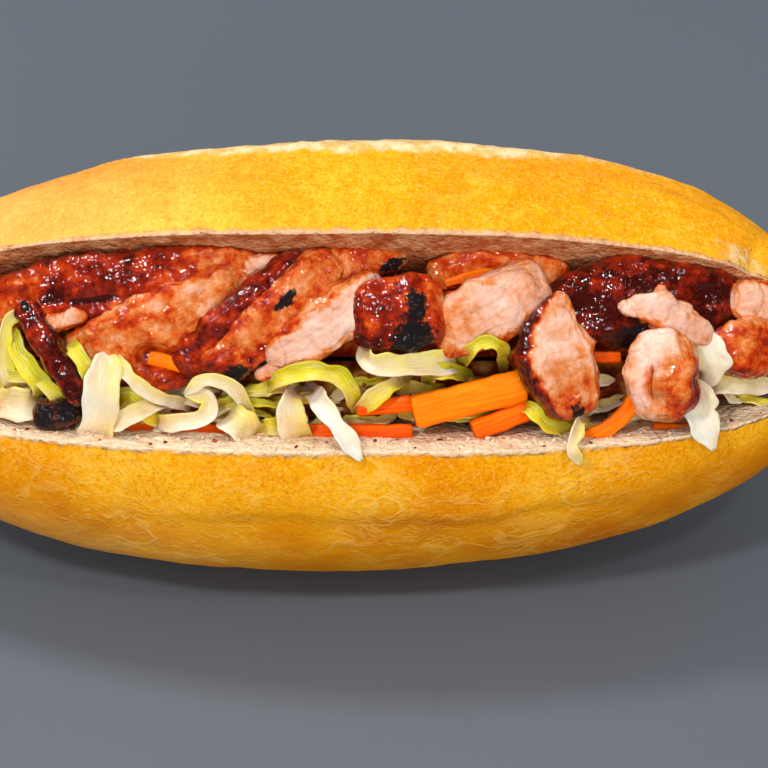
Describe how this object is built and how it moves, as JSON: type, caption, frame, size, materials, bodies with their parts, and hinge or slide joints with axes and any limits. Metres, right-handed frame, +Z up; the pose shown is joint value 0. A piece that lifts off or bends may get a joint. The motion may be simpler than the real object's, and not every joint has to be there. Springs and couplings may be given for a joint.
{
  "type": "chicken sandwich",
  "caption": "Crusty long roll slit along its front and filled with grilled chicken slices, carrot sticks and shredded lettuce, lying with its opening turned up to the front.",
  "frame": {"origin": "middle of the object's base, on the flat spot under the roll", "axes": "+X along the roll, +Y to the back where the hinge of crumb is, +Z up"},
  "size_m": [0.2194, 0.0918, 0.0933],
  "materials": {
    "bread": "dry golden crust, soft pale crumb inside",
    "grilled_chicken": "moist glazed skin with pale cut faces and charred spots",
    "carrot": "moist cut carrot",
    "lettuce": "thin moist leaf"
  },
  "bodies": {
    "root": {"bread_roll": "bread", "carrot_01": "carrot", "carrot_02": "carrot", "carrot_03": "carrot", "carrot_04": "carrot", "carrot_05": "carrot", "carrot_06": "carrot", "carrot_07": "carrot", "carrot_08": "carrot", "carrot_09": "carrot", "carrot_10": "carrot", "carrot_11": "carrot", "chicken_bed": "grilled_chicken", "chicken_charred_chunk": "grilled_chicken", "chicken_charred_end": "grilled_chicken", "chicken_crumbly_right": "grilled_chicken", "chicken_dark_strip": "grilled_chicken", "chicken_folded": "grilled_chicken", "chicken_glazed_left": "grilled_chicken", "chicken_left_end": "grilled_chicken", "chicken_maroon_right": "grilled_chicken", "chicken_pale_bit": "grilled_chicken", "chicken_pale_slice": "grilled_chicken", "chicken_pink_cut": "grilled_chicken", "chicken_pink_right": "grilled_chicken", "chicken_pulled_pink": "grilled_chicken", "chicken_pulled_top": "grilled_chicken", "chicken_skin_top": "grilled_chicken", "chicken_slice_a": "grilled_chicken", "chicken_slice_b": "grilled_chicken", "chicken_slice_c": "grilled_chicken", "chicken_slice_d": "grilled_chicken", "chicken_small_left": "grilled_chicken", "chicken_tan_top": "grilled_chicken", "chicken_thin_slice": "grilled_chicken", "chicken_wedge_slice": "grilled_chicken", "lettuce_salad": "lettuce"}
  },
  "joints": []
}
